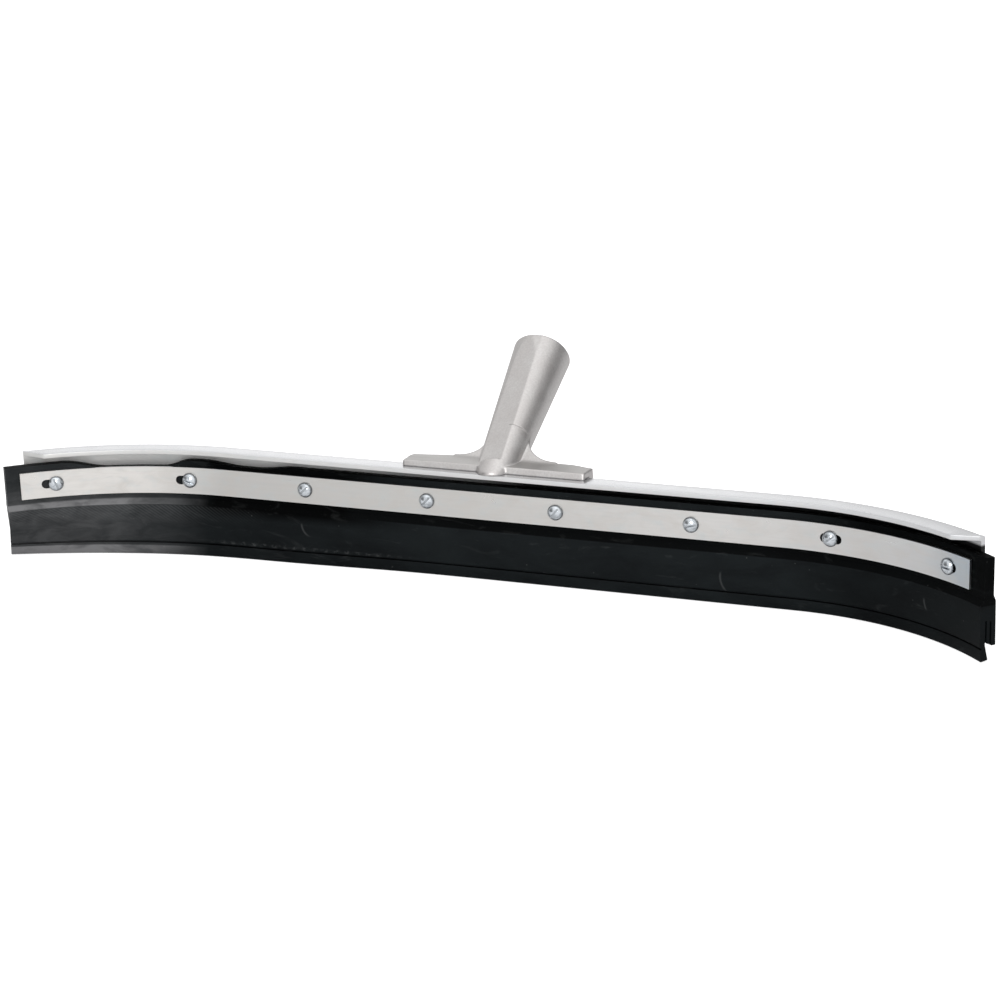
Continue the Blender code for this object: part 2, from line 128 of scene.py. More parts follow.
# Socket casting.
SKIRT_FRONT, SKIRT_BACK = 10.8, 14.8
SKIRT_REACH = 58.6
SOCKET_TILT = math.radians(56.9)
SOCKET_ROOT = np.array((0.0, 12.45, 66.8))
SOCKET_LENGTH = 94.8
SOCKET_ROOT_RADIUS, SOCKET_MOUTH_RADIUS = 12.7, 18.0
SOCKET_TAIL = 32.0
SOCKET_AXIS = np.array((0.0, math.sin(SOCKET_TILT), math.cos(SOCKET_TILT)))
SOCKET_UP = np.array((0.0, -math.cos(SOCKET_TILT), math.sin(SOCKET_TILT)))
BORE_DEPTH = 75.0
BORE_MOUTH_RADIUS, BORE_END_RADIUS = 14.4, 10.0
STEP_PLACE, STEP_HEIGHT, STEP_RAMP = 25.2, 0.35, 0.2

STRIP_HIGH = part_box("clamp_strip")[1]
FLOOR_Z = CAD_LOW.z
ORIGIN = np.array((0.0, STRIP_HIGH.y / MM - STRIP_THICK, FLOOR_Z / MM))


# ---------------------------------------------------------------- helpers for shape


def in_row(points):
    """Layout millimetres to row metres."""
    return (np.asarray(points, float) + ORIGIN) * MM


def smooth_step(value, low, high):
    t = np.clip((value - low) / (high - low), 0.0, 1.0)
    return t * t * (3.0 - 2.0 * t)


def blade_line(station, straight, radius):
    """The point on the blade line at a distance from its middle, and the normal that points back."""
    side = math.copysign(1.0, station)
    angle = max(abs(station) - straight, 0.0) / radius
    x = side * (min(abs(station), straight) + radius * math.sin(angle))
    y = -radius * (1.0 - math.cos(angle))
    return np.array((x, y)), np.array((side * math.sin(angle), math.cos(angle)))


def clamped(station, depth, height):
    """Where a point of the straight layout goes when the clamped layers are bent."""
    line, normal = blade_line(station, CLAMP_STRAIGHT, CLAMP_RADIUS)
    x, y = line + normal * depth
    return (x, y, height)


def hanging(station, depth, height):
    """As clamped, but below the clamp the rubber moves over to the line of its free edge."""
    side = 0 if station < 0.0 else 1
    line, normal = blade_line(station, CLAMP_STRAIGHT, CLAMP_RADIUS)
    edge, edge_normal = blade_line(station, EDGE_STRAIGHT[side], EDGE_RADIUS[side])
    share = min(max((HANG_Z - height) / HANG_Z, 0.0), 1.0)
    sag = SAG_REACH * math.exp(-(((station - SAG_STATION) / SAG_WIDTH) ** 2))
    held = line + normal * depth
    free = edge + edge_normal * (depth + EDGE_TRAIL - sag)
    x, y = held * (1.0 - share) + free * share
    return (x, y, height)


def screw_stations():
    first = -(len(HOLE_DRIFT) - 1) / 2 * SCREW_PITCH
    return [first + place * SCREW_PITCH + drift for place, drift in enumerate(HOLE_DRIFT)]


def stations_between(low, high, step, extra=()):
    """Even stations, a little closer than step, with the extra ones among them."""
    count = math.ceil((high - low) / step)
    even = [low + (high - low) * i / count for i in range(count + 1)]
    inside = [s for s in extra if low + step / 4 < s < high - step / 4]
    kept = [s for s in even if all(abs(s - other) > step / 4 for other in inside)]
    return sorted(kept + inside)


def rounded(corners, steps=3):
    """A polygon of (depth, height, radius) corners with each corner turned into an arc."""
    points = []
    count = len(corners)
    for i, (y, z, radius) in enumerate(corners):
        here = np.array((y, z))
        before = np.array(corners[i - 1][:2]) - here
        after = np.array(corners[(i + 1) % count][:2]) - here
        reach_before = np.linalg.norm(before)
        reach_after = np.linalg.norm(after)
        before = before / reach_before
        after = after / reach_after
        half = math.acos(max(-1.0, min(1.0, float(before @ after)))) / 2
        cut = min(radius / math.tan(half), 0.45 * reach_before, 0.45 * reach_after)
        start = here + before * cut
        end = here + after * cut
        for step in range(steps + 1):
            t = step / steps
            points.append(tuple(start * (1 - t) ** 2 + here * 2 * t * (1 - t) + end * t**2))
    return points


def bar(name, stations, outline_at):
    """A straight, capped bar along X, with a (depth, height) outline at each station.

    Its UV map runs along it and up it in millimetres, with a part of its own for level faces.
    """
    rings = [outline_at(station) for station in stations]
    count = len(rings[0])
    verts = [(station, y, z) for station, ring in zip(stations, rings) for y, z in ring]
    mesh = mesh_of(name, verts, tube_faces(len(stations), count))
    uv = mesh.uv_layers.new(name="layout")
    for polygon in mesh.polygons:
        flat = abs(polygon.normal.z) > abs(polygon.normal.y)
        cap = abs(polygon.normal.x) > 0.9
        for loop in polygon.loop_indices:
            x, y, z = mesh.vertices[mesh.loops[loop].vertex_index].co
            if cap:
                uv.data[loop].uv = (x + y, z)
            else:
                uv.data[loop].uv = (x, FLAT_OFFSET + y if flat else z)
    return add_object(name, mesh)


def tube_faces(rings, count):
    """The faces of a tube through rings of count points each, capped at both ends."""
    faces = []
    for low in range(0, (rings - 1) * count, count):
        for j in range(count):
            k = (j + 1) % count
            faces.append((low + j, low + k, low + count + k, low + count + j))
    last = (rings - 1) * count
    return faces + [tuple(reversed(range(count))), tuple(range(last, last + count))]


def mesh_of(name, verts, faces):
    """A closed mesh with its faces turned outward."""
    mesh = bpy.data.meshes.new(name)
    mesh.from_pydata(verts, [], faces)
    bm = bmesh.new()
    bm.from_mesh(mesh)
    bmesh.ops.recalc_face_normals(bm, faces=bm.faces)
    bm.to_mesh(mesh)
    bm.free()
    return mesh


def mesh_from(name, bm):
    """A mesh with its faces turned outward, from a bmesh, which is freed."""
    bmesh.ops.recalc_face_normals(bm, faces=bm.faces)
    mesh = bpy.data.meshes.new(name)
    bm.to_mesh(mesh)
    bm.free()
    return mesh


def add_object(name, mesh):
    obj = bpy.data.objects.new(name, mesh)
    bpy.context.scene.collection.objects.link(obj)
    return obj


def bake(obj):
    """Replaces the object's mesh with what its modifiers give, and drops them."""
    bpy.context.view_layer.update()
    graph = bpy.context.evaluated_depsgraph_get()
    mesh = bpy.data.meshes.new_from_object(obj.evaluated_get(graph))
    obj.modifiers.clear()
    obj.data = mesh
    return obj


def boolean(obj, bm, operation="DIFFERENCE"):
    """Applies a Boolean with the closed shape held in a bmesh, which is freed."""
    tool = add_object("tool", mesh_from("tool", bm))
    modifier = obj.modifiers.new("boolean", "BOOLEAN")
    modifier.operation = operation
    modifier.solver = "EXACT"
    modifier.object = tool
    bake(obj)
    bpy.data.objects.remove(tool, do_unlink=True)
    return obj


def add_cone(bm, low, high, low_radius, high_radius, segments):
    low, high = Vector(low), Vector(high)
    axis = high - low
    turn = Vector((0.0, 0.0, 1.0)).rotation_difference(axis).to_matrix().to_4x4()
    bmesh.ops.create_cone(
        bm,
        cap_ends=True,
        segments=segments,
        radius1=low_radius,
        radius2=high_radius,
        depth=axis.length,
        matrix=Matrix.Translation((low + high) / 2) @ turn,
    )


def add_box(bm, low, high):
    low, high = Vector(low), Vector(high)
    scale = Matrix.Diagonal((*(high - low), 1.0))
    bmesh.ops.create_cube(bm, size=1.0, matrix=Matrix.Translation((low + high) / 2) @ scale)


def bend(obj, place):
    """Moves every vertex of a straight bar to its bent place, in row metres."""
    count = len(obj.data.vertices)
    flat = np.empty(count * 3)
    obj.data.vertices.foreach_get("co", flat)
    placed = [place(*point) for point in flat.reshape(-1, 3)]
    obj.data.vertices.foreach_set("co", in_row(placed).ravel())
    obj.data.update()
    return obj


def soften(obj, width, segments=2, angle=28.0):
    """Rounds the sharp edges and shades the rest smooth."""
    obj.data.shade_smooth()
    modifier = obj.modifiers.new("edges", "BEVEL")
    modifier.width = width * MM
    modifier.segments = segments
    modifier.limit_method = "ANGLE"
    modifier.angle_limit = math.radians(angle)
    modifier.harden_normals = False
    obj.data.set_sharp_from_angle(angle=math.radians(60))
    return obj


def wear(piece, body, material, slot, *nodes):
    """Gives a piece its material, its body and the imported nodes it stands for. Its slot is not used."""
    piece.data.materials.clear()
    piece.data.materials.append(material)
    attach(piece, body)
    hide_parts(*nodes)
    return piece


# ---------------------------------------------------------------- clamped layers


def add_clamp_holes(bm, slotted):
    """Round holes for the screws, or with slotted the strip's own, of which the outer two are slots."""
    far = 40.0
    segments = 24
    for place, station in enumerate(screw_stations()):
        centres = [station]
        if slotted and place in STRIP_SLOTS:
            low_reach, high_reach = STRIP_SLOTS[place]
            centres = [station + low_reach + HOLE_RADIUS, station + high_reach - HOLE_RADIUS]
        part = bmesh.new()
        for centre in centres:
            front, back = (centre, -far, SCREW_Z), (centre, far, SCREW_Z)
            add_cone(part, front, back, HOLE_RADIUS, HOLE_RADIUS, segments)
        points = [vert.co.copy() for vert in part.verts]
        part.free()
        verts = [bm.verts.new(point) for point in points]
        bmesh.ops.convex_hull(bm, input=verts)
    return bm


def make_strip():
    low, high = STRIP_BOTTOM, STRIP_TOP
    outline = [(0.0, low), (STRIP_THICK, low), (STRIP_THICK, high), (0.0, high)]
    strip = bar("front_clamp_strip", stations_between(*STRIP_ENDS, STATION_STEP), lambda station: outline)
    boolean(strip, add_clamp_holes(bmesh.new(), True))
    return soften(bend(strip, clamped), 0.25)


def flange_front(station):
    """The front edge of the top flange: straight, with its corners cut off at a slant."""
    inset = 1.0
    inner = FRAME_FRONT - inset
    end = FRAME_ENDS[0] if station < 0.0 else FRAME_ENDS[1]
    share = max(0.0, (abs(station) - (abs(end) - FLANGE_CUT)) / FLANGE_CUT)
    return FLANGE_FRONT + (inner - FLANGE_FRONT) * share


def frame_outline(station):
    thick = FRAME_BACK - FRAME_FRONT
    front = flange_front(station)
    return rounded(
        [
            (front, FLANGE_LOW, 0.5),
            (FRAME_FRONT, FLANGE_LOW, 0.9),
            (FRAME_FRONT, FRAME_BOTTOM, 0.4),
            (FRAME_BACK, FRAME_BOTTOM, 0.4),
            (FRAME_BACK, FLANGE_TOP, thick),
            (front, FLANGE_TOP, 0.5),
        ]
    )


def make_frame():
    cuts = (FRAME_ENDS[0] + FLANGE_CUT, FRAME_ENDS[1] - FLANGE_CUT)
    stations = stations_between(*FRAME_ENDS, STATION_STEP, cuts)
    angle = bar("bowed_steel_angle", stations, frame_outline)
    boolean(angle, add_clamp_holes(bmesh.new(), False))
    return soften(bend(angle, clamped), 0.2, 1)


def rubber_top(station):
    """The rubber's top edge, which dips between the first screws, where nothing holds it."""
    screws = screw_stations()
    height = RUBBER_TOP
    for place, depth, falls, rises in TOP_DIPS:
        this_screw, next_screw = screws[place], screws[place + 1]
        fall = smooth_step(station, this_screw + falls[0], this_screw + falls[1])
        rise = smooth_step(station, next_screw + rises[0], next_screw + rises[1])
        height -= depth * fall * (1.0 - rise)
    return height


def rubber_outline(station):
    """A clamped head, two shoulders, and three fins parted by two slits. The front fin is the lip."""
    body_front, body_back = -1.2, 8.8
    front_slit, back_slit = (2.1, 3.1), (5.0, 6.0)
    front_slit_top, back_slit_top = 23.5, 22.9
    shoulder = 3.1
    fin_bottom, groove = 8.8, 8.5
    lip_top, lip_front, lip_back = -0.6, -0.5, 4.0
    nick, groove_high = 0.8, 1.5
    top = rubber_top(station)
    return rounded(
        [
            (RUBBER_FRONT, top, 0.7),
            (RUBBER_BACK, top, 0.7),
            (RUBBER_BACK, SHOULDER_Z, 0.6),
            (body_back, SHOULDER_Z - shoulder, 1.2),
            (body_back, fin_bottom, 0.7),
            (back_slit[1], fin_bottom, 0.3),
            (back_slit[1], back_slit_top, 0.3),
            (back_slit[0], back_slit_top, 0.3),
            (back_slit[0], fin_bottom + nick, 0.3),
            (front_slit[1], fin_bottom + 2 * nick, 0.5),
            (front_slit[1], front_slit_top, 0.3),
            (front_slit[0], front_slit_top, 0.3),
            (front_slit[0], fin_bottom + nick, 0.3),
            (lip_back, nick, 0.3),
            (lip_front, 0.0, 0.3),
            (lip_top, groove - groove_high, 0.4),
            (body_front + groove_high, groove - groove_high / 2, 0.2),
            (body_front, groove, 0.3),
            (body_front, HANG_Z - shoulder, 0.5),
            (RUBBER_FRONT, HANG_Z, 0.4),
        ],
        2,
    )


def make_rubber():
    stations = stations_between(-RUBBER_HALF, RUBBER_HALF, STATION_STEP)
    rubber = bar("moulded_rubber_blade", stations, rubber_outline)
    boolean(rubber, add_clamp_holes(bmesh.new(), False))
    return soften(bend(rubber, hanging), 0.3)


# ---------------------------------------------------------------- the casting, as a distance field


def smooth_min(a, b, reach):
    share = np.clip(0.5 + 0.5 * (b - a) / reach, 0.0, 1.0)
    return b + (a - b) * share - reach * share * (1.0 - share)


def smooth_max(a, b, reach):
    return -smooth_min(-a, -b, reach)


def along_socket(points):
    """Distance along the socket's axis from its root, and the two offsets across it."""
    rel = points - SOCKET_ROOT
    return rel @ SOCKET_AXIS, points[:, 0], rel @ SOCKET_UP


def socket_radius(along):
    return SOCKET_ROOT_RADIUS + (SOCKET_MOUTH_RADIUS - SOCKET_ROOT_RADIUS) / SOCKET_LENGTH * along


def cone_field(along, x, up):
    """The tapered socket: a flat facet that stops above the boss, a small step beside it, a round rim."""
    round_angle = np.degrees(np.arctan2(x, up))
    step_fade = smooth_step(round_angle, 6.0, 14.0) * (1.0 - smooth_step(round_angle, 40.0, 80.0))
    proud = STEP_HEIGHT * step_fade * smooth_step(along, STEP_PLACE - STEP_RAMP, STEP_PLACE + STEP_RAMP)
    side = np.hypot(x, up) - socket_radius(along) - proud
    facet_turn = math.radians(-12.6)
    facet_root, facet_taper, runout_start, runout_rise = 10.25, 0.0705, 76.0, 1.5
    runout = np.clip((along - runout_start) / (SOCKET_LENGTH - runout_start), 0.0, 2.0)
    facet_depth = facet_root + facet_taper * along + runout_rise * runout**2
    facet = x * math.sin(facet_turn) + up * math.cos(facet_turn) - facet_depth
    facet_low, facet_slant = -1.5, 0.12
    facet_end = facet_low + facet_slant * x
    crease, rim = 0.2, 1.2
    skin = smooth_max(side, np.minimum(facet, along - facet_end), crease)
    return smooth_max(skin, along - SOCKET_LENGTH, rim)


def foot_field(points):
    """The foot on the flange: a drafted plate with crisp edges that thins toward its back corners.

    Behind the flange it reaches down to meet the skirt.
    """
    x, y, z = points[:, 0], points[:, 1], points[:, 2]
    left, right = -58.0, 58.5
    low, top = FLANGE_TOP + SEAT_GAP, 71.9
    front, back = 1.6, 18.8
    front_draft, end_draft = 0.26, 0.05
    overhang = 3.0
    backward = smooth_step(y, 2.0, back)
    left_fall = (0.5 + 0.7 * backward) * smooth_step(-x, 28.0, -left)
    right_fall = 1.1 * backward * smooth_step(x, 44.0, 58.0)
    top = top - left_fall - right_fall
    corner, back_edge, top_edge, low_edge = 1.4, 1.6, 0.9, 0.6
    field = smooth_max(front + front_draft * (z - low) - y, left - x, corner)
    field = smooth_max(field, x - right + end_draft * (z - low), corner)
    field = smooth_max(field, y - back, back_edge)
    field = smooth_max(field, z - top, top_edge)
    return smooth_max(field, low - overhang - z, low_edge)


def skirt_field(points):
    """The skirt that hangs behind the rear leg, with large round corners below."""
    x, y, z = points[:, 0], points[:, 1], points[:, 2]
    low, high = 39.5, FLANGE_TOP + 3.0
    side_inset = 1.5
    low_corner, high_edge, back_edge, front_edge = 10.0, 1.0, 1.4, 0.6
    field = smooth_max(np.abs(x) - (SKIRT_REACH - side_inset), low - z, low_corner)
    field = smooth_max(field, z - high, high_edge)
    field = smooth_max(field, y - SKIRT_BACK, back_edge)
    return smooth_max(field, SKIRT_FRONT - y, front_edge)


def web_field(along, x, up):
    """The two gussets between the foot and the socket, hollowed along a quarter ellipse on each side."""
    inner, low, lowest = 13.6, 7.8, -8.0
    right = x > 0.0
    reach = np.where(right, 35.0, 30.0)
    high = np.where(right, 25.5, 20.0)
    thick = 4.6
    across = np.abs(x)
    hollow = np.hypot((reach - across) / (reach - inner), (high - along) / (high - low))
    field = (1.0 - hollow) * (high - low)
    beyond = (across > reach) | (along > high)
    field = np.where(beyond, np.maximum(across - reach, along - low), field)
    field = np.maximum(field, along - high)
    field = np.maximum(field, lowest - along)
    edge = 0.9
    return smooth_max(field, np.abs(up) - thick / 2, edge)


def casting_field(points):
    """Distance, near enough, to the casting's skin: negative in the metal."""
    along, x, up = along_socket(points)
    y, z = points[:, 1], points[:, 2]
    cone = cone_field(along, x, up)
    boss_x, boss_y, boss_radius, boss_top = -0.4, 4.4, 9.6, 80.0
    nose = np.where(y < boss_y, np.hypot(x - boss_x, y - boss_y) - boss_radius, -boss_radius)
    boss_edge, tail_edge, web_fillet, cone_fillet, seat_edge = 1.5, 3.0, 1.6, 1.0, 0.2
    cone = smooth_max(cone, np.where(z < boss_top, nose, -boss_radius), boss_edge)
    cone = smooth_max(cone, -SOCKET_TAIL - along, tail_edge)
    body = smooth_min(foot_field(points), web_field(along, x, up), web_fillet)
    body = smooth_min(body, cone, cone_fillet)
    body = smooth_min(body, skirt_field(points), web_fillet)
    clearance = np.maximum(y - SKIRT_FRONT, z - FLANGE_TOP - SEAT_GAP)
    body = smooth_max(body, -clearance, seat_edge)
    depth = SOCKET_LENGTH - along
    bore_radius = BORE_MOUTH_RADIUS - (BORE_MOUTH_RADIUS - BORE_END_RADIUS) / BORE_DEPTH * depth
    bore_corner, bore_edge, hole_edge, hole_spare = 2.0, 0.8, 0.5, 5.0
    bore = smooth_max(np.hypot(x, up) - bore_radius, depth - BORE_DEPTH, bore_corner)
    body = smooth_max(body, -bore, bore_edge)
    for station in screw_stations():
        if abs(station) < SKIRT_REACH:
            hole = np.hypot(x - station, z - SCREW_Z) - HOLE_RADIUS
            body = smooth_max(body, -np.maximum(hole, y - SKIRT_BACK - hole_spare), hole_edge)
    return body


def field_on_grid(low, counts, step):
    """The casting's field on a grid, worked out plane by plane to keep memory small."""
    values = np.empty(counts, np.float32)
    y = low[1] + step * np.arange(counts[1])
    z = low[2] + step * np.arange(counts[2])
    grid_y, grid_z = np.meshgrid(y, z, indexing="ij")
    plane = np.stack([np.zeros(grid_y.size), grid_y.ravel(), grid_z.ravel()], 1)
    for i in range(counts[0]):
        plane[:, 0] = low[0] + step * i
        values[i] = casting_field(plane).reshape(counts[1:])
    return values


def surface_net(values, low, step):
    """A quad mesh with one vertex in each cell that the surface crosses."""
    inside = values < 0.0
    wide, deep, high = (n - 1 for n in values.shape)
    corners = np.zeros((wide, deep, high), np.int8)
    for i, j, k in itertools.product((0, 1), repeat=3):
        corners += inside[i : i + wide, j : j + deep, k : k + high]
    crossed = (corners > 0) & (corners < 8)
    cells = np.argwhere(crossed)
    index = np.full(corners.shape, -1, np.int64)
    index[crossed] = np.arange(len(cells))
    points = low + step * (cells + 0.5)
    quads = []
    for axis in range(3):
        one, two = (axis + 1) % 3, (axis + 2) % 3
        ahead = [slice(None)] * 3
        behind = [slice(None)] * 3
        ahead[axis], behind[axis] = slice(1, None), slice(None, -1)
        change = inside[tuple(ahead)] != inside[tuple(behind)]
        edges = np.argwhere(change)
        fits = (edges[:, one] > 0) & (edges[:, two] > 0)
        edges = edges[fits]
        outward = inside[tuple(edges.T)]
        ring = []
        for back_one, back_two in ((0, 0), (1, 0), (1, 1), (0, 1)):
            cell = edges.copy()
            cell[:, one] -= back_one
            cell[:, two] -= back_two
            ring.append(index[tuple(cell.T)])
        ring = np.stack(ring, 1)
        ring[outward] = ring[outward][:, ::-1]
        quads.append(ring)
    return points, np.concatenate(quads)


def settle(points, quads, rounds):
    """Evens the net out and pulls it onto the field's zero surface, in short moves."""
    nudge, blend, longest, flattest = 0.02, 0.4, 0.6, 0.2
    offsets = np.eye(3) * nudge
    neighbours = np.concatenate([quads[:, [i, (i + 1) % 4]] for i in range(4)])
    degree = np.bincount(neighbours.ravel(), minlength=len(points)).astype(float)
    for turn in range(rounds):
        if turn:
            total = np.zeros_like(points)
            for axis in range(3):
                for here, there in ((0, 1), (1, 0)):
                    place = points[neighbours[:, there], axis]
                    total[:, axis] += np.bincount(neighbours[:, here], place, len(points))
            points = (1.0 - blend) * points + blend * total / degree[:, None]
        for _ in range(2):
            value = casting_field(points)
            slope = np.stack([(casting_field(points + offset) - value) / nudge for offset in offsets], 1)
            steep = np.maximum((slope**2).sum(1), flattest)
            shift = slope * (value / steep)[:, None]
            length = np.maximum(np.linalg.norm(shift, axis=1), 1e-9)
            points = points - shift * np.minimum(1.0, longest / length)[:, None]
    return points


def make_casting():
    """The casting's mesh, from its field on a grid."""
    step, rounds = (0.6), 3
    low = np.array((-61.0, -8.0, 36.0))
    high = np.array((63.0, 105.0, 137.0))
    counts = tuple(int(n) for n in np.ceil((high - low) / step) + 1)
    points, quads = surface_net(field_on_grid(low, counts, step), low, step)
    points = settle(points, quads, rounds)
    mesh = mesh_of("cast_handle_socket", in_row(points).tolist(), quads.tolist())
    mesh.shade_smooth()
    return add_object("cast_handle_socket", mesh)


# ---------------------------------------------------------------- fasteners


def turned(name, profile, segments):
    """A (radius, height) profile, from axis to axis, turned round Z."""
    verts = [(0.0, 0.0, profile[0][1])]
    rings = profile[1:-1]
    for radius, height in rings:
        for i in range(segments):
            angle = math.tau * i / segments
            verts.append((radius * math.cos(angle), radius * math.sin(angle), height))
    verts.append((0.0, 0.0, profile[-1][1]))
    faces = [(0, 1 + i, 1 + (i + 1) % segments) for i in range(segments)]
    for ring in range(len(rings) - 1):
        start = 1 + ring * segments
        for i in range(segments):
            k = (i + 1) % segments
            faces.append((start + i, start + segments + i, start + segments + k, start + k))
    start = 1 + (len(rings) - 1) * segments
    end = len(verts) - 1
    faces += [(end, start + (i + 1) % segments, start + i) for i in range(segments)]
    return mesh_of(name, verts, faces)


def thread_radius(angle, height):
    """The thread's radius at a place on its helix."""
    phase = (height / THREAD_PITCH - angle / math.tau) % 1.0
    crest = 1.0 - abs(2.0 * phase - 1.0)
    return SHANK_RADIUS - THREAD_DEPTH * (1.0 - crest)


def dome_height(radius):
    """How high the screw head's spherical top stands at a distance from its axis."""
    rise = HEAD_HEIGHT - HEAD_RIM
    sphere = (HEAD_RADIUS**2 + rise**2) / (2 * rise)
    return HEAD_HEIGHT - sphere + math.sqrt(sphere**2 - radius**2)


def mark_head(mesh):
    """A UV map that holds the distance from the screw's axis, and 1 on the faces of the slot."""
    uv = mesh.uv_layers.new(name="layout")
    floor = HEAD_HEIGHT - SLOT_DEPTH
    near, square = 0.01, 0.99
    for polygon in mesh.polygons:
        centre, normal = polygon.center, polygon.normal
        within = abs(centre.y) < SLOT_WIDTH / 2 + near and centre.z > floor - near
        flat = normal.z > square and centre.z < floor + near
        slotted = within and (flat or abs(normal.y) > square)
        for loop in polygon.loop_indices:
            x, y, _ = mesh.vertices[mesh.loops[loop].vertex_index].co
            uv.data[loop].uv = (math.hypot(x, y), 1.0 if slotted else 0.0)


def screw_mesh(shank):
    """A slotted pan-head screw: head above Z = 0, threaded shank below."""
    segments, dome_steps, thread_steps = 48, 14, 6
    seat_chamfer, plain, point_length, point_depth, near = 0.2, 1.5, 0.6, 0.5, 0.01
    profile = [(0.0, HEAD_HEIGHT)]
    for step in range(1, dome_steps + 1):
        radius = HEAD_RADIUS * step / dome_steps
        profile.append((radius, dome_height(radius)))
    profile += [(HEAD_RADIUS, seat_chamfer), (HEAD_RADIUS - seat_chamfer, 0.0), (SHANK_RADIUS, 0.0)]
    rounds = int((shank - plain) / THREAD_PITCH * thread_steps)
    for step in range(rounds + 1):
        profile.append((SHANK_RADIUS, -plain - (shank - plain) * step / rounds))
    profile.append((0.0, -shank))
    mesh = turned("screw", profile, segments)
    for vert in mesh.vertices:
        x, y, z = vert.co
        radius = math.hypot(x, y)
        if z < near - plain and radius > near:
            fade = min(1.0, (-plain - z) / THREAD_PITCH)
            point = min(1.0, (z + shank) / point_length)
            wanted = thread_radius(math.atan2(y, x), z) * fade + SHANK_RADIUS * (1.0 - fade)
            wanted -= point_depth * (1.0 - point)
            vert.co = (x * wanted / radius, y * wanted / radius, z)
    screw = add_object("screw", mesh)
    slot = bmesh.new()
    far = 2.0 * HEAD_RADIUS
    add_box(slot, (-far, -SLOT_WIDTH / 2, HEAD_HEIGHT - SLOT_DEPTH), (far, SLOT_WIDTH / 2, far))
    boolean(screw, slot)
    mark_head(screw.data)
    return screw


def washer_mesh():
    """A spring washer: a ring of square wire, split, with its ends a little apart."""
    half_gap = math.radians(6.0)
    turns = 40
    corner, pitch = 0.15, 0.1
    flattening, lift = 0.9, 0.06
    radii = (HOLE_RADIUS, WASHER_RADIUS, WASHER_RADIUS, HOLE_RADIUS)
    heights = (-WASHER_THICK, -WASHER_THICK, 0.0, 0.0)
    section = rounded([(radius, height, corner) for radius, height in zip(radii, heights)], 2)
    verts = []
    for i in range(turns + 1):
        angle = half_gap + (math.tau - 2 * half_gap) * i / turns
        skew = pitch * (i / turns - 0.5) - lift
        for radius, height in section:
            verts.append((radius * math.cos(angle), radius * math.sin(angle), height * flattening + skew))
    faces = tube_faces(turns + 1, len(section))
    return add_object("washer", mesh_of("washer", verts, faces))


def nut_mesh():
    """A hexagon nut with both faces chamfered and its threaded hole countersunk."""
    flat, corner = NUT_FLATS / 2, NUT_FLATS / math.sqrt(3.0)
    low, high, beyond = -NUT_THICK, 0.0, 1.0
    crown, crown_far = flat - 0.05, flat + 8.6
    bore, sink, sink_far, sink_half = SHANK_RADIUS + 0.1, SHANK_RADIUS + 0.9, SHANK_RADIUS - 0.1, 0.5
    body = bmesh.new()
    add_cone(body, (0, 0, low), (0, 0, high), corner, corner, 6)
    nut = add_object("nut", mesh_from("nut", body))
    for operation, start, end, start_radius, end_radius, segments in (
        ("INTERSECT", low, high + beyond, crown, crown_far, 48),
        ("INTERSECT", low - beyond, high, crown_far, crown, 48),
        ("DIFFERENCE", low - beyond, high + beyond, bore, bore, 32),
        ("DIFFERENCE", low - sink_half, low + sink_half, sink, sink_far, 32),
        ("DIFFERENCE", high - sink_half, high + sink_half, sink_far, sink, 32),
    ):
        cutter = bmesh.new()
        add_cone(cutter, (0, 0, start), (0, 0, end), start_radius, end_radius, segments)
        boolean(nut, cutter, operation)
    return nut


def placed(name, pattern, station, depth, turn):
    """A copy of a fastener's mesh at its place: local X along the blade, Z out of the strip."""
    line, normal = blade_line(station, CLAMP_STRAIGHT, CLAMP_RADIUS)
    up = Vector((0.0, 0.0, 1.0))
    out = Vector((-normal[0], -normal[1], 0.0))
    facing = Matrix((up.cross(out), up, out)).transposed().to_4x4()
    spot = in_row((*(line + normal * depth), SCREW_Z))
    mesh = pattern.data.copy()
    mesh.name = name
    scale = Matrix.Scale(MM, 4)
    mesh.transform(Matrix.Translation(Vector(spot)) @ facing @ Matrix.Rotation(turn, 4, "Z") @ scale)
    return add_object(name, mesh)


def make_fasteners(materials):
    """A screw, a lock washer and a nut at each station. The screws that hold the casting are longer."""
    washer = washer_mesh()
    nut = nut_mesh()
    screws = {}
    for place, station in enumerate(screw_stations()):
        back = SKIRT_BACK if abs(station) < SKIRT_REACH else FRAME_BACK
        washer_front = back + GAP
        nut_front = washer_front + WASHER_THICK + GAP
        if back not in screws:
            screws[back] = screw_mesh(nut_front + NUT_THICK + SHANK_SPARE + GAP)
        number = place + 1
        turn = math.radians(SLOT_ANGLES[place])
        own_body = f"screw_{number}"
        for kind, pattern, depth, spin, edge, body, node in (
            ("slotted_screw", screws[back], -GAP, turn, (0.12, 2, 40.0), own_body, "clamp_screw"),
            ("spring_washer", washer, washer_front, turn, (0.1, 1, 50.0), "head", "lock_washer"),
            ("hex_nut", nut, nut_front, turn * 2.0, (0.12, 2, 25.0), "head", "clamp_nut"),
        ):
            piece = placed(f"{kind}_{number}", pattern, station, depth, spin)
            soften(piece, *edge)
            wear(piece, body, materials["bright"], "bright_zinc", f"{node}_{number}")
    for pattern in (washer, nut, *screws.values()):
        bpy.data.objects.remove(pattern, do_unlink=True)


# ---------------------------------------------------------------- materials

# Where a bar's tone ramp starts and ends, in millimetres along it, and the axes that shading looks along.
TONE_ENDS = (-310.0, 310.0)
BACKWARD, UPWARD = 1, 2

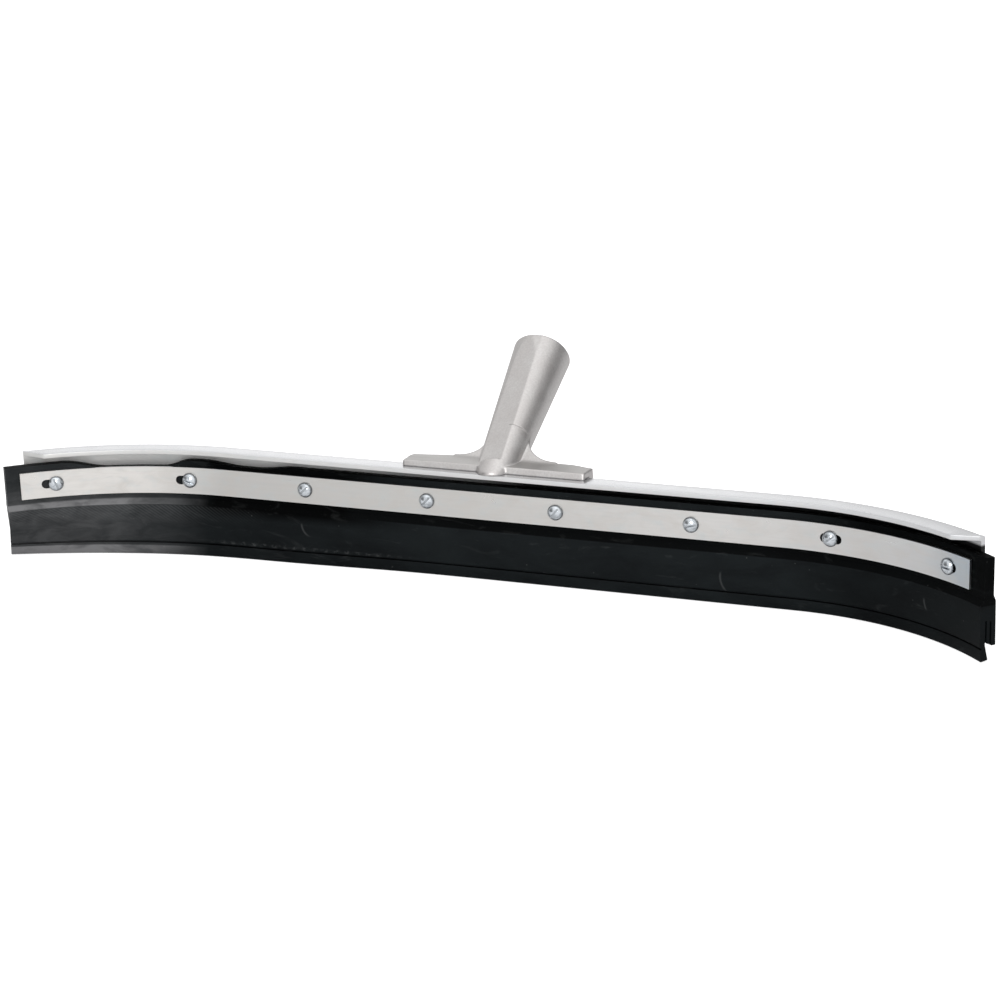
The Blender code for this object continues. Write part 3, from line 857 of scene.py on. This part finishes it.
STREAK_GREY = (0.50, 0.49, 0.48)
BLUSH_BLUE = (0.64, 0.73, 0.76)
GAP_SHADE_DARK = (0.01, 0.01, 0.01)
RUBBER_BLACKS = ((0.0035, 0.0052, 0.0062), (0.0090, 0.0122, 0.0135))
PAINTED_SHADE_BLACK = (0.0002, 0.0002, 0.0002)
DUST_AND_SHEEN_GREY = (0.20, 0.20, 0.205)
HATCH_GREY = (0.42, 0.44, 0.45)
SMUDGE_GREY = (0.24, 0.25, 0.25)
SCRATCH_GREY = (0.30, 0.31, 0.31)
SPECK_GREY = (0.40, 0.40, 0.39)
CAST_GREYS = ((0.655, 0.63, 0.62), (0.71, 0.695, 0.685))
SAND_GREY = (0.50, 0.48, 0.47)
FOOT_TOP_SHADE_GREY = (0.45, 0.44, 0.43)
STEP_SHADE_GREY = (0.20, 0.19, 0.185)
ZINC_BLUES = ((0.74, 0.79, 0.84), (0.86, 0.90, 0.94))
TARNISH_GREY = (0.34, 0.37, 0.40)
RIM_AND_SLOT_SHADE_GREY = (0.10, 0.11, 0.12)


class Nodes:
    """A small wrapper that makes and links shader nodes."""

    def __init__(self, tree):
        self.tree = tree

    def fill(self, node, inputs):
        """Links a node's inputs, or sets their own values. A colour is given without its alpha."""
        for key, value in dict(inputs).items():
            socket = node.inputs[key]
            if isinstance(value, bpy.types.NodeSocket):
                self.tree.links.new(value, socket)
            elif socket.type == "RGBA":
                socket.default_value = (*value, 1.0)
            else:
                socket.default_value = value

    def add(self, kind, inputs=(), **settings):
        node = self.tree.nodes.new(kind)
        for key, value in settings.items():
            setattr(node, key, value)
        self.fill(node, inputs)
        return node

    def place(self, kind):
        """A texture coordinate: 'Object' and 'Normal' in the row's frame, a bar's 'UV' in millimetres."""
        return self.add("ShaderNodeTexCoord").outputs[kind]

    def parts(self, vector):
        """The X, Y and Z of a vector."""
        node = self.add("ShaderNodeSeparateXYZ", {"Vector": vector})
        return [node.outputs[axis] for axis in "XYZ"]

    def along_axis(self, vector, axis):
        """How far a vector reaches along a fixed axis."""
        inputs = {0: vector, 1: axis}
        return self.add("ShaderNodeVectorMath", inputs, operation="DOT_PRODUCT").outputs["Value"]

    def noise(self, vector, scale, detail, roughness, distortion=0.0):
        inputs = {"Vector": vector, "Scale": scale, "Detail": detail, "Roughness": roughness}
        return self.add("ShaderNodeTexNoise", {**inputs, "Distortion": distortion}).outputs["Fac"]

    def bar_map(self, along, up, turn=0.0):
        """A bar's UV map, scaled along it and up it, then turned."""
        inputs = {"Vector": self.place("UV"), "Scale": (along, up, 1.0), "Rotation": (0.0, 0.0, turn)}
        return self.add("ShaderNodeMapping", inputs).outputs["Vector"]

    def bar_noise(self, along, up, detail, roughness, distortion=0.0, turn=0.0):
        """Noise over a bar, with this many features to the millimetre along it and up it."""
        return self.noise(self.bar_map(along, up, turn), 1.0, detail, roughness, distortion)

    def ramp(self, value, stops):
        node = self.add("ShaderNodeValToRGB", {"Fac": value})
        elements = node.color_ramp.elements
        while len(elements) < len(stops):
            elements.new(0.5)
        for element, (place, color) in zip(elements, stops):
            element.position = place
            element.color = (*color, 1.0)
        return node.outputs["Color"]

    def span(self, value, low, high, to_low=0.0, to_high=1.0):
        """Carries a value from one range to another, and holds it at the ends."""
        inputs = {"Value": value, "From Min": low, "From Max": high, "To Min": to_low, "To Max": to_high}
        return self.add("ShaderNodeMapRange", inputs).outputs["Result"]

    def window(self, value, rise, fall):
        """1 between the rise and the fall, 0 outside them."""
        return self.product(self.span(value, *rise), self.span(value, *fall, 1.0, 0.0))

    def math(self, operation, *values):
        return self.add("ShaderNodeMath", enumerate(values), operation=operation).outputs["Value"]

    def product(self, first, *others):
        for other in others:
            first = self.math("MULTIPLY", first, other)
        return first

    def largest(self, first, *others):
        for other in others:
            first = self.math("MAXIMUM", first, other)
        return first

    def mix(self, share, first, second):
        return self.add("ShaderNodeMix", {0: share, 6: first, 7: second}, data_type="RGBA").outputs[2]

    def bump(self, height, distance, strength, **under):
        """A bumped normal, over another one if Normal is given."""
        inputs = {"Height": height, "Distance": distance, "Strength": strength, **under}
        return self.add("ShaderNodeBump", inputs).outputs["Normal"]


def new_material(name, metallic, roughness):
    material = bpy.data.materials.new(name)
    material.use_nodes = True
    nodes = Nodes(material.node_tree)
    shader = material.node_tree.nodes["Principled BSDF"]
    nodes.fill(shader, {"Metallic": metallic, "Roughness": roughness})
    return material, nodes, shader


def facing_share(nodes, axis, low, high):
    """How far the surface faces along an axis, by number: 0 below low, 1 above high."""
    return nodes.span(nodes.parts(nodes.place("Normal"))[axis], low, high)


def uv_values(nodes):
    """The two UV values: on a bar, the millimetres along it and up it."""
    return nodes.parts(nodes.place("UV"))[:2]


def step_shade_line(nodes):
    """A thin line of painted shade along the socket's small step, which fades out on the socket's right.
    """
    reach, from_x, to_x, fade = 0.5, 2.0, 9.0, 3.0
    place = nodes.place("Object")
    axis = Vector(SOCKET_AXIS)
    step = Vector(in_row(SOCKET_ROOT)).dot(axis) + (STEP_PLACE - STEP_RAMP / 2) * MM
    off = nodes.math("ABSOLUTE", nodes.math("SUBTRACT", nodes.along_axis(place, axis), step))
    line = nodes.span(off, 0.0, reach * MM, 1.0, 0.0)
    rise = (from_x * MM, (from_x + 1.0) * MM)
    fall = (to_x * MM, (to_x + fade) * MM)
    return nodes.product(line, nodes.window(nodes.parts(place)[0], rise, fall))


def gap_shade_mask(nodes, along, height):
    """Painted shade on the angle's inner face around the rubber's top, in the gap under the flange, right
    of the left bend.
    """
    inner = nodes.math("SUBTRACT", 1.0, facing_share(nodes, BACKWARD, 0.1, 0.3))
    seat = nodes.window(height, (57.0, 58.0), (61.6, 63.0))
    return nodes.product(seat, nodes.span(along, -90.0, 20.0), inner)


def plated_material(name, tones, stain, top_shade_tint, side_metal, side_rough, top_rough):
    """Zinc-plated strip steel: a tone that drifts along the bar, soft clouds and faint rolling streaks.

    It is painted dark, as shade, on the angle's inner face around the rubber's top, under the flange.
    """
    material, nodes, shader = new_material(name, 1.0, side_rough)
    along, height = uv_values(nodes)
    drift = nodes.bar_noise(0.008, 0.02, 2.0, 0.5)
    drift = nodes.span(drift, 0.3, 0.7, -0.02, 0.02)
    place = nodes.span(along, *TONE_ENDS)
    color = nodes.ramp(nodes.math("ADD", place, drift), tones)
    streaks = nodes.bar_noise(0.015, 0.5, 5.0, 0.6)
    color = nodes.mix(nodes.span(streaks, 0.42, 0.70, 0.0, 0.08), color, STREAK_GREY)
    clouds = nodes.bar_noise(0.05, 0.11, 5.0, 0.6, 0.8)
    color = nodes.mix(nodes.span(clouds, 0.45, 0.70, 0.0, 0.45), color, stain)
    blush = nodes.bar_noise(0.09, 0.16, 3.0, 0.5, 0.3)
    color = nodes.mix(nodes.span(blush, 0.50, 0.75, 0.0, 0.25), color, BLUSH_BLUE)
    top = facing_share(nodes, UPWARD, 0.4, 0.9)
    # Level faces take their own tint, which is painted shade on the flange's top.
    color = nodes.mix(top, color, top_shade_tint)
    # Painted shade in the gap under the flange, above the rubber.
    color = nodes.mix(gap_shade_mask(nodes, along, height), color, GAP_SHADE_DARK)
    metal = nodes.span(top, 0.0, 1.0, side_metal, 1.0)
    rough = nodes.span(top, 0.0, 1.0, side_rough, top_rough)
    rough = nodes.math("ADD", rough, nodes.span(clouds, 0.3, 0.7, -0.03, 0.05))
    normal = nodes.bump(nodes.bar_noise(0.05, 5.0, 4.0, 0.6), 0.02 * MM, 0.4)
    normal = nodes.bump(nodes.bar_noise(0.035, 0.09, 2.0, 0.5), 0.5 * MM, 0.3, Normal=normal)
    nodes.fill(shader, {"Base Color": color, "Metallic": metal, "Roughness": rough, "Normal": normal})
    return material


def strip_material():
    """The clamp strip: bright and warm at the left end, bluer and darker toward the right end, painted
    reflection laid into the plating's own tone along the bar.
    """
    # The brightness changes along this ramp are painted reflection.
    tones = (
        (0.13, (0.93, 0.905, 0.87)),
        (0.21, (0.69, 0.68, 0.66)),
        (0.50, (0.75, 0.735, 0.71)),
        (0.72, (0.83, 0.815, 0.795)),
        (0.84, (0.74, 0.73, 0.715)),
        (0.94, (0.72, 0.72, 0.72)),
        (0.975, (0.56, 0.61, 0.65)),
    )
    stain, top_shade_tint = (0.70, 0.665, 0.625), (0.75, 0.75, 0.75)
    return plated_material("zinc_plated_strip", tones, stain, top_shade_tint, 1.0, 0.30, 0.30)


def angle_material():
    """The bowed angle: duller on its upright faces than on the flange's top, whose colour is painted a
    little darker as shade.
    """
    tones = ((0.0, (0.78, 0.775, 0.76)), (1.0, (0.74, 0.745, 0.76)))
    stain, top_shade_tint = (0.70, 0.69, 0.68), (0.69, 0.695, 0.71)
    return plated_material("zinc_plated_angle", tones, stain, top_shade_tint, 0.55, 0.45, 0.24)


def arc_mask(nodes, along, height, centre, radius, sweep):
    """A thin curved scratch: the left side of a circle's edge, kept within reach of a height."""
    middle, reach = sweep
    across = nodes.math("SUBTRACT", along, centre[0])
    up = nodes.math("SUBTRACT", height, centre[1])
    squares = nodes.math("ADD", nodes.product(across, across), nodes.product(up, up))
    off = nodes.math("ABSOLUTE", nodes.math("SUBTRACT", nodes.math("SQRT", squares), radius))
    line = nodes.span(off, 0.1, 0.9, 0.11, 0.0)
    side = nodes.span(across, -0.5, 0.5, 1.0, 0.0)
    level = nodes.math("ABSOLUTE", nodes.math("SUBTRACT", height, middle))
    ends = nodes.span(level, reach - 2.0, reach, 1.0, 0.0)
    return nodes.product(line, side, ends)


def painted_rubber_shade(nodes, along, height):
    """Painted shade on the rubber: left of the middle, high at the right, on top in the gap, and under
    the strip.
    """
    left = nodes.window(along, (-215.0, -185.0), (-100.0, -40.0))
    left = nodes.product(left, nodes.span(height, 25.0, 31.0, 0.25, 0.92))
    right = nodes.span(along, 180.0, 230.0)
    right = nodes.product(right, nodes.span(height, 36.0, 41.0, 0.35, 0.85))
    top = nodes.span(height, 60.5, 61.5)
    tucked = nodes.window(height, (31.6, 32.2), (39.0, 40.0))
    tucked = nodes.product(tucked, nodes.span(along, -215.0, -190.0, 0.0, 0.8))
    return nodes.largest(left, right, top, tucked)


def rubber_dust_and_sheen(nodes, along, height):
    """A cloudy grey at the left end, part dust and part painted sheen, strongest on the ledge under the
    strip and on the lip.
    """
    left = nodes.span(along, -190.0, -262.0)
    ledge = nodes.window(height, (31.4, 32.0), (34.6, 35.4))
    raised = nodes.largest(ledge, nodes.span(height, 6.0, 5.2))
    haze = nodes.bar_noise(0.05, 0.14, 4.0, 0.6, 0.8)
    haze = nodes.span(haze, 0.35, 0.65, 0.5, 1.05)
    behind_strip = nodes.span(height, 40.0, 50.0, 1.0, 0.3)
    return nodes.product(left, haze, behind_strip, nodes.span(raised, 0.0, 1.0, 0.27, 1.20))


def mould_hatch(nodes, along, height):
    """A fine slanting texture left by the mould, in the left part just under the ledge."""
    inputs = {"Vector": nodes.bar_map(0.62, 1.0), "Scale": 0.34, "Distortion": 0.5}
    wave = nodes.add("ShaderNodeTexWave", inputs, wave_type="BANDS", bands_direction="DIAGONAL")
    band = nodes.window(height, (20.0, 30.0), (31.0, 31.6))
    return nodes.product(wave.outputs["Fac"], band, nodes.span(along, -145.0, -215.0, 0.0, 0.055))


def bead_row(nodes, along, height):
    """A row of small moulding beads above the lip's groove."""
    beads = nodes.math("SINE", nodes.product(along, math.tau / BEAD_PITCH))
    beads = nodes.span(beads, -0.2, 0.8, 0.2, 1.0)
    row = nodes.window(height, (8.4, 9.2), (10.2, 11.2))
    reach = nodes.window(along, (-195.0, -170.0), (-80.0, -50.0))
    uneven = nodes.bar_noise(0.5, 0.7, 2.0, 0.5)
    return nodes.product(beads, row, reach, nodes.span(uneven, 0.40, 0.60, 0.0, 0.13))


def rubber_marks(nodes, color, along, height):
    """Pale smudges, beads, scratches and specks, laid over the rubber's colour."""
    smudge = nodes.bar_noise(0.03, 0.09, 4.0, 0.6, 1.8, turn=0.9)
    color = nodes.mix(nodes.span(smudge, 0.60, 0.74, 0.0, 0.05), color, SMUDGE_GREY)
    color = nodes.mix(bead_row(nodes, along, height), color, SMUDGE_GREY)
    for centre, radius, sweep in SCUFFS:
        color = nodes.mix(arc_mask(nodes, along, height, centre, radius, sweep), color, SCRATCH_GREY)
    scratch = nodes.bar_noise(0.05, 0.9, 4.0, 0.6, 0.7, turn=0.45)
    color = nodes.mix(nodes.span(scratch, 0.68, 0.76, 0.0, 0.06), color, SCRATCH_GREY)
    specks = nodes.add("ShaderNodeTexVoronoi", {"Vector": nodes.place("UV"), "Scale": 0.09})
    dots = nodes.span(specks.outputs["Distance"], 0.02, 0.05, 0.10, 0.0)
    return nodes.mix(dots, color, SPECK_GREY)


def rubber_material():
    """Moulded black rubber: faint flow marks, and what the functions above add."""
    material, nodes, shader = new_material("black_rubber", 0.0, 0.5)
    along, height = uv_values(nodes)
    flow = nodes.bar_noise(0.02, 0.05, 5.0, 0.6, 0.6, turn=0.5)
    color = nodes.mix(nodes.span(flow, 0.35, 0.7), *RUBBER_BLACKS)
    shade = painted_rubber_shade(nodes, along, height)
    # Painted shade: the colour goes near black and the specular drops where the rubber is shaded.
    color = nodes.mix(shade, color, PAINTED_SHADE_BLACK)
    specular = nodes.span(shade, 0.0, 1.0, 0.11, 0.022)
    # Dust and painted sheen at the left end.
    color = nodes.mix(rubber_dust_and_sheen(nodes, along, height), color, DUST_AND_SHEEN_GREY)
    color = nodes.mix(mould_hatch(nodes, along, height), color, HATCH_GREY)
    color = rubber_marks(nodes, color, along, height)
    rough = nodes.span(flow, 0.3, 0.7, 0.42, 0.58)
    normal = nodes.bump(nodes.noise(nodes.place("Object"), 2600.0, 3.0, 0.6), 0.06 * MM, 0.5)
    waves = nodes.bar_noise(0.12, 0.5, 3.0, 0.5, turn=0.6)
    normal = nodes.bump(waves, 0.3 * MM, 0.35, Normal=normal)
    nodes.fill(shader, {"Base Color": color, "Roughness": rough, "Normal": normal})
    nodes.fill(shader, {"Specular IOR Level": specular})
    return material


def cast_material():
    """Die-cast aluminium: warm pale grey with a fine sandy skin, blotched, with painted shade on the
    foot's top.
    """
    material, nodes, shader = new_material("cast_aluminium", 1.0, 0.44)
    place = nodes.place("Object")
    blotch = nodes.noise(place, 70.0, 4.0, 0.6)
    sand = nodes.noise(place, 850.0, 3.0, 0.7)
    color = nodes.mix(nodes.span(blotch, 0.35, 0.65), *CAST_GREYS)
    color = nodes.mix(nodes.span(sand, 0.35, 0.65, 0.0, 0.45), color, SAND_GREY)
    # Painted shade on the level faces, the foot's top.
    level = nodes.product(facing_share(nodes, UPWARD, 0.88, 0.97), 0.75)
    color = nodes.mix(level, color, FOOT_TOP_SHADE_GREY)
    # Painted shade along the socket's step.
    color = nodes.mix(nodes.product(step_shade_line(nodes), 0.7), color, STEP_SHADE_GREY)
    rough = nodes.span(blotch, 0.3, 0.7, 0.40, 0.48)
    normal = nodes.bump(sand, 0.16 * MM, 0.6)
    nodes.fill(shader, {"Base Color": color, "Roughness": rough, "Normal": normal})
    return material


def bright_material():
    """Bright zinc plate on small steel fasteners, with a painted dark reflection round a screw head's rim
    and painted shade in its slot.
    """
    material, nodes, shader = new_material("bright_zinc", 1.0, 0.14)
    place = nodes.place("Object")
    radius, slotted = uv_values(nodes)
    tint = nodes.noise(place, 260.0, 3.0, 0.5)
    color = nodes.mix(tint, *ZINC_BLUES)
    tarnish = nodes.noise(place, 420.0, 2.0, 0.5, 0.6)
    color = nodes.mix(nodes.span(tarnish, 0.50, 0.64, 0.0, 0.55), color, TARNISH_GREY)
    # The rim is painted dark as a dark reflection, the slot as painted shade.
    rim = nodes.span(radius, HEAD_RADIUS - 0.9, HEAD_RADIUS - 0.2, 0.0, 0.7)
    slot = nodes.span(slotted, 0.2, 0.6, 0.0, 0.42)
    color = nodes.mix(nodes.largest(rim, slot), color, RIM_AND_SLOT_SHADE_GREY)
    rough = nodes.span(tint, 0.3, 0.7, 0.10, 0.22)
    normal = nodes.bump(nodes.noise(place, 700.0, 3.0, 0.6), 0.08 * MM, 0.6)
    nodes.fill(shader, {"Base Color": color, "Roughness": rough, "Normal": normal})
    return material


# ---------------------------------------------------------------- studio

WHITE = (1.0, 1.0, 1.0)
FLOOR_GREY = (0.78, 0.78, 0.785)


def make_floor():
    """A plain pale floor, lifted to white where it is seen, so that only a faint contact shadow shows."""
    size, drop, glow = 9.0, 0.3 * MM, 0.66
    corners = [(-size, -size, 0.0), (size, -size, 0.0), (size, size, 0.0), (-size, size, 0.0)]
    mesh = mesh_of("studio_floor", corners, [(0, 1, 2, 3)])
    floor = add_object("studio_floor", mesh)
    floor.location.z = FLOOR_Z - drop
    material, nodes, shader = new_material("pale_floor", 0.0, 0.9)
    seen = nodes.add("ShaderNodeLightPath").outputs["Is Camera Ray"]
    nodes.fill(shader, {"Base Color": FLOOR_GREY, "Specular IOR Level": 0.1})
    nodes.fill(shader, {"Emission Color": WHITE, "Emission Strength": nodes.product(seen, glow)})
    mesh.materials.append(material)


def sky_zone(nodes, direction, toward, near, far, level):
    """1 outside the far angle from a direction, level inside the near angle."""
    aligned = nodes.along_axis(direction, Vector(toward).normalized())
    outer, inner = (math.cos(math.radians(angle)) for angle in (far, near))
    return nodes.span(aligned, outer, inner, 1.0, level)


def make_world():
    """A pale studio all round, with a few greyer and brighter zones that only shape the reflections.

    Each zone has its direction, its near and far angles in degrees, and its level.
    """
    ambient = 0.84
    zones = (
        ((0.70, 0.72, 0.02), 14.0, 64.0, 0.12),
        ((-0.92, 0.38, 0.10), 12.0, 36.0, 0.70),
        ((-0.83, -0.52, 0.20), 14.0, 34.0, 0.22),
        ((-0.36, 0.883, 0.30), 5.0, 17.0, 1.45),
        ((0.22, -0.15, 0.96), 14.0, 44.0, 1.55),
    )
    world = bpy.data.worlds.new("studio")
    bpy.context.scene.world = world
    world.use_nodes = True
    tree = world.node_tree
    nodes = Nodes(tree)
    direction = nodes.place("Generated")
    level = nodes.product(ambient, *(sky_zone(nodes, direction, *zone) for zone in zones))
    seen = nodes.add("ShaderNodeLightPath").outputs["Is Camera Ray"]
    nodes.fill(tree.nodes["Background"], {"Color": WHITE, "Strength": nodes.mix(seen, level, WHITE)})


def make_light(name, place, aim, size, power):
    light = bpy.data.lights.new(name, "AREA")
    light.shape = "DISK"
    light.size = size
    light.energy = power
    obj = add_object(name, light)
    obj.location = place
    obj.rotation_mode = "QUATERNION"
    obj.rotation_quaternion = (Vector(aim) - Vector(place)).to_track_quat("-Z", "Y")
    return obj


def make_camera():
    """The viewing angle: right of the front and above, turned a little about the line of sight."""
    azimuth, elevation, roll = 0.3873, 0.3069, 0.0327
    distance = 1.59178
    level = math.cos(elevation)
    back = Vector((math.sin(azimuth) * level, -math.cos(azimuth) * level, math.sin(elevation)))
    right = Vector((math.cos(azimuth), math.sin(azimuth), 0.0))
    up = back.cross(right)
    across = right * math.cos(roll) - up * math.sin(roll)
    upright = right * math.sin(roll) + up * math.cos(roll)
    target = Vector(in_row((0.0, 0.0, SCREW_Z)))
    data = bpy.data.cameras.new("camera")
    data.sensor_width = 36.0
    data.lens = 95.92
    data.shift_x = 0.00852
    data.shift_y = 0.00678
    data.clip_start = 0.05
    data.clip_end = 60.0
    camera = add_object("camera", data)
    turn = Matrix((across, upright, back)).transposed().to_4x4()
    camera.matrix_world = Matrix.Translation(target + back * distance) @ turn
    bpy.context.scene.camera = camera


def main():
    make_camera()
    make_world()
    make_floor()
    bpy.context.scene.view_settings.view_transform = "Standard"
    materials = {
        "strip": strip_material(),
        "angle": angle_material(),
        "rubber": rubber_material(),
        "cast": cast_material(),
        "bright": bright_material(),
    }
    wear(make_frame(), "head", materials["angle"], "zinc_plated_steel", "frame_channel")
    wear(make_strip(), "head", materials["strip"], "zinc_plated_steel", "clamp_strip")
    wear(make_rubber(), "head", materials["rubber"], "black_rubber", "rubber_blade")
    wear(make_casting(), "head", materials["cast"], "cast_aluminium", "socket_casting")
    make_fasteners(materials)
    make_light("softbox", (0.43, -1.45, 0.62), (0.0, -0.09, -0.07), 0.6, 6.0)


main()
